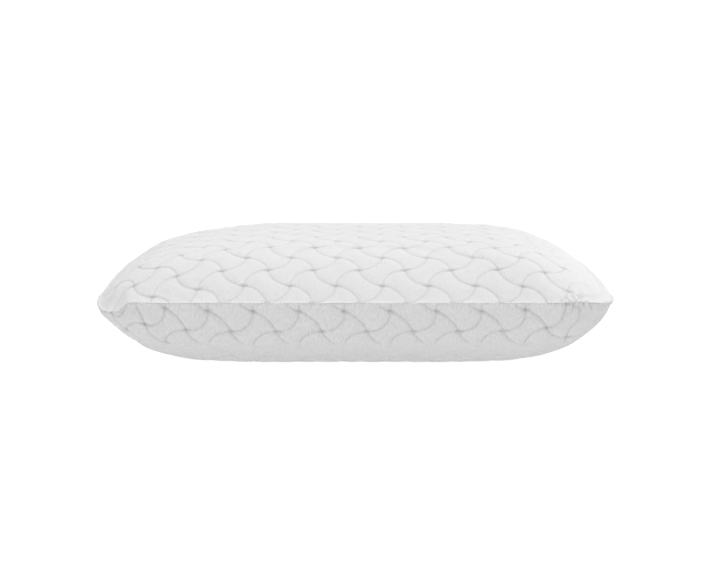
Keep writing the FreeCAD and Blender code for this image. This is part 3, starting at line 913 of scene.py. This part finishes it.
    def _seam_work(self, panel: Panel, places: np.ndarray, x: np.ndarray, y: np.ndarray,
                   inward: np.ndarray) -> np.ndarray:
        """Lift beside the seam: the top's lip and right front band, the bottom's zip strip and hem."""
        if panel is Panel.TOP:
            corner = smooth_step(0.235, 0.262, places[:, 0]) * (places[:, 1] < 0)
            flap = 1.3 * MM * bell(inward, 3.5 * MM, 2.8 * MM) - 1.5 * MM * bell(inward, 9 * MM, 2.6 * MM)
            return 0.20 * MM * bell(inward, 2.6 * MM, 2.6 * MM) + corner * flap
        hem = (y > 0) * (np.abs(x) < self.slit.half - self.slit.ease)
        groove = 0.45 * MM * hem * bell(inward, self.slit.hem, 0.9 * MM)
        return -groove - 0.4 * MM * self._under_zip(x, y, inward) * smooth_step(0.0, 5 * MM, inward)

    def quilt(self, piece: bpy.types.Object, panel: Panel) -> None:
        """Raise the tiles, sink the channels, and gather the cloth along the seam.

        Args:
            piece: the fine panel.
            panel: which panel it is.
        """
        mesh = piece.data
        places, normals = read_points(mesh), read_normals(mesh)
        x, y = self._cloth_places(mesh).T
        inward = self._inward(panel, x, y)
        height, groove, strength = self._pattern(panel, places[:, 0], x, y, inward)
        edge = smooth_step(0.0, 5 * MM, inward)
        lift = height * strength * (0.3 + 0.7 * edge) - self.sunk * edge
        lift += self._gathers(panel, places, inward)
        lift *= smooth_step(0.0, 1.6 * MM, inward)
        for amount, cell, seed in self.unevenness:
            lift += amount * cloth_noise(x, y, cell, seed + panel.value) * edge
        lift += self._seam_work(panel, places, x, y, inward)
        places = self.settling.apply(places + normals * lift[:, None])
        if panel is Panel.BOTTOM:
            places[:, 2] = np.maximum(places[:, 2], 0.0)
        write_points(mesh, places)
        # Channel share that greys the knit: partly its thread, partly painted shade in the channels and
        # knot dimples.
        attribute = mesh.attributes.new("groove", "FLOAT", "POINT")
        attribute.data.foreach_set("value", (groove * np.clip(strength, 0.0, 1.0)).astype(np.float32))

    def close(self, piece: bpy.types.Object, net: bmesh.types.BMesh, panel: Panel) -> None:
        """Back the quilted face with a plain inner wall and join their rims.

        Args:
            piece: the quilted face.
            net: a net of the same panel, freed here.
            panel: which panel it is; not used.
        """
        outer = bmesh.new()
        outer.from_mesh(piece.data)
        faces = len(outer.faces)
        rim = {vert for vert in net.verts if vert.is_boundary}
        backs = [v.co - (Vector((v.co.x, v.co.y, 0.0)) if v in rim else v.normal).normalized() * self.wall
                 for v in net.verts]
        for vert, back in zip(net.verts, self.settling.apply(np.array(backs))):
            vert.co = back
        bmesh.ops.reverse_faces(net, faces=net.faces)
        spare = bpy.data.meshes.new("spare")
        net.to_mesh(spare)
        net.free()
        outer.from_mesh(spare)
        bpy.data.meshes.remove(spare)
        rims = [edge for edge in outer.edges if edge.is_boundary]
        bmesh.ops.bridge_loops(outer, edges=rims)
        LOG.info("%s: %d faces outside, %d in all, open edges %d", piece.name, faces, len(outer.faces),
                 sum(edge.is_boundary for edge in outer.edges))
        outer.to_mesh(piece.data)
        outer.free()
        piece.data.polygons.foreach_set("use_smooth", [True] * len(piece.data.polygons))

    def build(self) -> dict[Panel, bpy.types.Object]:
        """Build, inflate, quilt and close both panels.

        Returns:
            The finished pieces, by panel.
        """
        pieces = {}
        for panel, name in ((Panel.TOP, "quilted_top"), (Panel.BOTTOM, "quilted_bottom")):
            piece = new_piece(name, self.cage(panel), self.finishes[panel])
            self.inflate(piece)
            net = bmesh.new()
            net.from_mesh(piece.data)
            self._refine(piece)
            self.quilt(piece, panel)
            self.close(piece, net, panel)
            pieces[panel] = piece
        return pieces


# ---------------------------------------------------------------- stitches, zip and label

@dataclass
class Needlework:
    """The threads of the cover: those that show along its seam and hem, and those inside it."""

    shape: PillowShape
    cover: QuiltedCover
    finish: bpy.types.Material
    skin: dict[Panel, BVHTree]
    rolled_from: float = -0.264

    @staticmethod
    def _turned(along: Vector, out: Vector) -> Matrix:
        """Turn that lays a stitch along one direction and faces it outward."""
        side = out.cross(along).normalized()
        return Matrix((along.normalized(), side, along.cross(side).normalized())).transposed().to_4x4()

    def seam(self) -> bpy.types.Object:
        """Short threads that show across the seam, none over the zip or under the rolled corner."""
        bm = bmesh.new()
        half_x, half_y, square = self.shape.half_x, self.shape.half_y, self.shape.square_seam
        angles = np.linspace(0.0, 2 * math.pi, 6001)
        c, s = np.cos(angles), np.sin(angles)
        reach = (np.abs(c) ** square + np.abs(s) ** square) ** (-1 / square)
        rim = np.stack([half_x * c * reach, half_y * s * reach], axis=1)
        run = np.append(0.0, np.cumsum(np.hypot(*np.diff(rim, axis=0).T)))
        count = int(run[-1] / self.cover.stitch)
        stops = (np.arange(count) + 0.5) * run[-1] / count
        xs, ys = np.interp(stops, run, rim[:, 0]), np.interp(stops, run, rim[:, 1])
        raw = np.stack([xs, ys, np.full(count, self.shape.seam_z)], axis=1)
        settled = self.cover.settling.apply(raw)
        for (x, y, _), place in zip(raw, settled):
            if y > 0 and abs(x) < self.cover.slit.half + 2 * MM:
                continue
            if y < 0 and x < self.rolled_from:
                continue
            out = Vector((abs(x) ** (square - 1) / half_x ** square * (1 if x > 0 else -1),
                          abs(y) ** (square - 1) / half_y ** square * (1 if y > 0 else -1), 0.0))
            out.normalize()
            spot = Vector(place) - out * 0.05 * MM
            add_bead(bm, spot, self._turned(Vector((0.0, 0.0, 1.0)), out), (1.6 * MM, 0.34 * MM, 0.42 * MM))
        return new_piece("seam_stitches", bm, self.finish)

    def inner(self, name: str, node: str) -> bpy.types.Object:
        """A thread of the frame, let down with the cover that it holds together.

        Args:
            name: name of the piece.
            node: CAD thread that it stands for.

        Returns:
            The thread.
        """
        bm = bmesh.new()
        bm.from_mesh(frame["nodes"][node].data)
        bmesh.ops.remove_doubles(bm, verts=bm.verts, dist=1e-6)
        for vert, place in zip(bm.verts, self.cover.settling.apply(np.array([v.co for v in bm.verts]))):
            vert.co = place
        return new_piece(name, bm, self.finish)

    def _on_skin(self, panel: Panel, x: float, z: float) -> tuple[Vector, Vector]:
        """Place and outward direction of the rear face at x and z."""
        place, normal, _, _ = self.skin[panel].ray_cast(Vector((x, 0.30, z)), Vector((0.0, -1.0, 0.0)))
        return place, (normal if normal.y > 0 else -normal)

    def hem(self) -> bpy.types.Object:
        """Row of topstitching that holds the lower tape under the hemmed edge."""
        bm = bmesh.new()
        pitch, half = 3.2 * MM, self.cover.slit.half - 4 * MM
        count = int(2 * half / pitch)
        z = self.shape.seam_z - self.cover.slit.drop - self.cover.slit.hem
        for i in range(count):
            x = -half + (i + 0.5) * 2 * half / count
            place, out = self._on_skin(Panel.BOTTOM, x, z)
            turn = self._turned(Vector((1.0, 0.0, 0.0)), out)
            add_bead(bm, place + out * 0.08 * MM, turn, (1.25 * MM, 0.26 * MM, 0.24 * MM))
        return new_piece("hem_stitches", bm, self.finish)


@dataclass
class ZipChain:
    """Nylon coils sewn along the two tapes."""

    finish: bpy.types.Material
    thread: bpy.types.Material
    pitch: float = 1.5 * MM
    wire: float = 0.27 * MM

    def coil(self, name: str, node: str, side: int) -> bpy.types.Object:
        """One row of looped teeth.

        Args:
            name: name of the piece.
            node: CAD row that it stands for.
            side: 1 for the upper row, -1 for the lower.

        Returns:
            The row.
        """
        low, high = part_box(node)
        bm = bmesh.new()
        wire = self.wire
        ring = bmesh.ops.create_circle(bm, segments=6, radius=wire)["verts"]
        depth, reach = (high.y - low.y) / 2 - wire, (high.z - low.z) / 2 - wire
        bmesh.ops.translate(bm, verts=ring, vec=(reach, 0.0, 0.0))
        bmesh.ops.rotate(bm, verts=ring, matrix=Matrix.Rotation(math.pi / 2, 3, "X"), cent=(reach, 0, 0))
        geometry = ring + list({e for v in ring for e in v.link_edges})
        bmesh.ops.spin(bm, geom=geometry, cent=(0, 0, 0), axis=(0, 0, 1), angle=2 * math.pi, steps=12,
                       use_merge=True)
        bmesh.ops.remove_doubles(bm, verts=bm.verts, dist=1e-6)
        bmesh.ops.recalc_face_normals(bm, faces=bm.faces)
        for vert in bm.verts:
            vert.co.y *= depth / reach
        count = int((high.x - low.x - 2 * wire) / self.pitch)
        shift = 0.25 * self.pitch * side
        lean = Matrix.Rotation(math.radians(-12.0 * side), 4, "Z")
        upright = Matrix.Rotation(math.pi / 2, 4, "Y")
        source = bm.verts[:] + bm.edges[:] + bm.faces[:]
        middle = (low + high) / 2
        first = low.x + wire + self.pitch / 2
        for i in range(count):
            copy = source if i == count - 1 else bmesh.ops.duplicate(bm, geom=source)["geom"]
            verts = [g for g in copy if isinstance(g, bmesh.types.BMVert)]
            place = Matrix.Translation((first + i * self.pitch + shift, middle.y, middle.z))
            bmesh.ops.transform(bm, matrix=place @ lean @ upright, verts=verts)
        return new_piece(name, bm, self.finish)

    def cord(self, name: str, node: str) -> bpy.types.Object:
        """Stitches that hold a row to its tape, lying over the loops.

        Args:
            name: name of the piece.
            node: CAD row that it stands for.

        Returns:
            The row of stitches.
        """
        low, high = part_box(node)
        bm = bmesh.new()
        count = int((high.x - low.x) / self.pitch)
        for i in range(count):
            place = Vector((low.x + (i + 0.5) * (high.x - low.x) / count, high.y - 0.12 * MM,
                            (low.z + high.z) / 2))
            turn = Matrix.Rotation(math.radians(24.0), 4, "Y")
            add_bead(bm, place, turn, (0.85 * MM, 0.20 * MM, 0.26 * MM))
        return new_piece(name, bm, self.thread)


@dataclass
class LoopLabel:
    """Blank satin label, folded double and caught in the seam beside the zip."""

    finish: bpy.types.Material
    thread: bpy.types.Material
    shape: PillowShape
    thick: float = 0.32 * MM
    length: float = 27 * MM
    margin: float = 0.6 * MM
    stand_off: float = 1.1 * MM
    curl: float = 2.6 * MM
    ripple: float = 0.35 * MM
    fold_run: float = 1.2 * MM
    fold_round: float = 0.42 * MM
    sewn_off: float = 1.75 * MM

    def sides(self) -> tuple[float, float]:
        """X of the strip's two side edges."""
        low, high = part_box("care_label")
        return low.x + self.margin, high.x - self.margin

    def flat(self) -> tuple[float, float]:
        """Width and length that the strip is cut to before it is folded."""
        left, right = self.sides()
        return right - left, 2 * self.length

    def build(self) -> bpy.types.Object:
        """Build the folded strip, hanging and curling a little off the panel."""
        x0, x1 = self.sides()
        bm = bmesh.new()
        bmesh.ops.create_grid(bm, x_segments=24, y_segments=56, size=0.5)
        top = self.shape.seam_z - 1.0 * MM
        for vert in bm.verts:
            across, down = vert.co.x + 0.5, (vert.co.y + 0.5) * 2
            x = x0 + across * (x1 - x0)
            edge = self._edge(x)
            leaf = 1 if down > 1 else -1
            run = abs(down - 1) * self.length
            fold = min(run / self.fold_run, 1.0)
            drop = self.length - run
            off = self.stand_off + self.curl * (drop / self.length) ** 2
            off += self.ripple * math.sin(across * 5.0 + 1.0) * drop / self.length
            off += leaf * self.fold_round * math.sqrt(max(0.0, 1 - (1 - fold) ** 2))
            vert.co = Vector((x, edge + off, top - drop))
        bmesh.ops.recalc_face_normals(bm, faces=bm.faces)
        bmesh.ops.solidify(bm, geom=bm.faces[:], thickness=self.thick)
        return new_piece("folded_label", bm, self.finish)

    def _edge(self, x: float) -> float:
        """Y of the rear sewn edge at x."""
        square = self.shape.square_seam
        return self.shape.half_y * (1 - abs(x / self.shape.half_x) ** square) ** (1 / square)

    def stitches(self) -> bpy.types.Object:
        """Short row of stitches across the top of the label."""
        low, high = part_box("label_stitches")
        bm = bmesh.new()
        count = 9
        for i in range(count):
            x = low.x + (i + 0.5) * (high.x - low.x) / count
            slope = (self._edge(x + MM) - self._edge(x - MM)) / (2 * MM)
            place = Vector((x, self._edge(x) + self.sewn_off, (low.z + high.z) / 2))
            turn = Matrix.Rotation(math.atan(slope), 4, "Z")
            add_bead(bm, place, turn, (1.2 * MM, 0.22 * MM, 0.26 * MM))
        return new_piece("label_topstitch", bm, self.thread)


# ---------------------------------------------------------------- studio

@dataclass
class Studio:
    """Glowing floor and backdrop, two soft lights and the camera, set before the pillow's front edge."""

    front: float
    distance: float = 1.7237
    eye_height: float = 0.3752
    aim_height: float = 0.0737
    focal: float = 78.12
    shift: float = -0.0006
    sky: float = 0.47
    key: float = 3.3
    fill: float = 1.00
    floor_radius: float = 12.0
    ring_radius: float = 11.0
    ring_depth: float = 1.1

    def build(self) -> None:
        """Set the stage, the lights and the camera."""
        self._floor()
        self._backdrop()
        self._light()
        self._camera()

    def _floor(self) -> None:
        """A wide round floor."""
        bm = bmesh.new()
        bmesh.ops.create_circle(bm, cap_ends=True, segments=96, radius=self.floor_radius)
        paper = StudioPaper(light=(0.25, 0.25, 0.25), glow=0.84).build()
        floor = new_piece("floor", bm, paper, smooth=False)

    def _backdrop(self) -> None:
        """A low ring of lit paper round the floor."""
        bm = bmesh.new()
        bmesh.ops.create_cone(bm, segments=96, radius1=self.ring_radius, radius2=self.ring_radius,
                              depth=self.ring_depth)
        bmesh.ops.translate(bm, verts=bm.verts, vec=(0.0, 0.0, 0.5))
        bmesh.ops.reverse_faces(bm, faces=bm.faces)
        new_piece("backdrop", bm, StudioPaper(glow=0.75).build())

    def _sun(self, name: str, energy: float, spread: float, turn: Euler) -> None:
        """Add a soft sun.

        Args:
            name: name of the light.
            energy: its strength.
            spread: how wide it looks, in degrees.
            turn: the way it is turned.
        """
        sun = bpy.data.lights.new(name, "SUN")
        sun.energy = energy
        sun.angle = math.radians(spread)
        lamp = bpy.data.objects.new(name, sun)
        lamp.rotation_euler = turn
        bpy.context.scene.collection.objects.link(lamp)

    def _light(self) -> None:
        """An even sky, a very soft light from above and a low one from the left of the camera."""
        world = bpy.data.worlds.new("studio_sky")
        world.use_nodes = True
        world.node_tree.nodes["Background"].inputs["Color"].default_value = (1.0, 1.0, 1.0, 1.0)
        world.node_tree.nodes["Background"].inputs["Strength"].default_value = self.sky
        bpy.context.scene.world = world
        self._sun("soft_top", self.key, 80.0, Euler((math.radians(-14.0), math.radians(24.0), 0.0)))
        low = Vector((0.45, 0.85, -0.25)).to_track_quat("-Z", "Y").to_euler()
        self._sun("left_fill", self.fill, 30.0, low)
        bpy.context.scene.view_settings.view_transform = "Standard"
        bpy.context.scene.view_settings.look = "None"

    def _camera(self) -> None:
        """The camera, aimed along its own axis."""
        camera = bpy.data.cameras.new("camera")
        camera.lens = self.focal
        camera.sensor_width = 36.0
        camera.shift_x = self.shift
        camera.clip_end = 60.0
        holder = bpy.data.objects.new("camera", camera)
        eye = Vector((0.0, self.front - self.distance, self.eye_height))
        aim = Vector((0.0, 0.0, self.aim_height))
        holder.location = eye
        holder.rotation_euler = (aim - eye).to_track_quat("-Z", "Y").to_euler()
        bpy.context.scene.collection.objects.link(holder)
        bpy.context.scene.camera = holder


def main() -> None:
    """Build every piece of the pillow and its stage."""
    low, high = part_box("cover_top_panel")
    shape = PillowShape(half_x=(high.x - low.x) / 2, half_y=(high.y - low.y) / 2,
                        seam_z=low.z, crown=high.z - low.z)
    Studio(front=-shape.half_y).build()
    # One cloth in two copies: the bottom's stronger mottle paints raking light into its colour streaks,
    # while its bump stays real relief.
    knits = {Panel.TOP: QuiltedKnit("quilted_knit_top", 0.7).build(),
             Panel.BOTTOM: QuiltedKnit("quilted_knit_bottom", 1.9).build()}
    thread = SpunThread().build()
    finishes = {
        "foam": OpenFoam().build(),
        "liner_jersey": PlainCloth("liner_jersey", (0.66, 0.66, 0.65), 0.8 * MM).build(),
        "thread": thread,
        "zip_tape": PlainCloth("zip_tape", (0.68, 0.68, 0.68), 0.6 * MM).build(),
        "zip_coil": NylonTooth().build(),
        "zip_metal": WhiteEnamel().build(),
        "label_satin": PlainCloth("label_satin", (0.70, 0.70, 0.69), 0.35 * MM, 0.5, 0.3).build(),
        "cover_knit": knits[Panel.TOP],
    }
    slots = {part["node"]: part["material_slot"] for part in frame["record"]["subparts"]}
    for node, obj in frame["nodes"].items():
        obj.data.materials.clear()
        obj.data.materials.append(finishes[slots[node]])
    tape_low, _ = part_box("zipper_tape_upper")
    cover = QuiltedCover(shape, knits, Slit(half=-tape_low.x + 2 * MM, drop=10.0 * MM))
    panels = cover.build()
    for panel, node in ((Panel.TOP, "cover_top_panel"), (Panel.BOTTOM, "cover_bottom_panel")):
        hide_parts(node)
        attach(panels[panel], "pillow")
    graph = bpy.context.evaluated_depsgraph_get()
    skin = {panel: BVHTree.FromObject(piece, graph) for panel, piece in panels.items()}
    needle = Needlework(shape, cover, thread, skin)
    chain = ZipChain(finishes["zip_coil"], thread)
    label = LoopLabel(finishes["label_satin"], thread, shape)
    sewn = [
        (needle.seam(), None, "thread"),
        (needle.hem(), "zipper_stitches_lower", "thread"),
        (needle.inner("seam_thread", "cover_seam_thread"), "cover_seam_thread", "thread"),
        (needle.inner("overlock_thread", "cover_overlock_thread"), "cover_overlock_thread", "thread"),
        (chain.coil("coil_upper", "zipper_coil_upper", 1), "zipper_coil_upper", "zip_coil"),
        (chain.coil("coil_lower", "zipper_coil_lower", -1), "zipper_coil_lower", "zip_coil"),
        (chain.cord("coil_upper_stitches", "zipper_coil_upper"), None, "thread"),
        (chain.cord("coil_lower_stitches", "zipper_coil_lower"), None, "thread"),
        (label.build(), "care_label", "label_satin"),
        (label.stitches(), "label_stitches", "thread"),
    ]
    for piece, node, slot in sewn:
        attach(piece, "pillow")
        if node is not None:
            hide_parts(node)


if __name__ == "__main__":
    logging.basicConfig(level=logging.INFO, format="%(name)s: %(message)s")
    main()
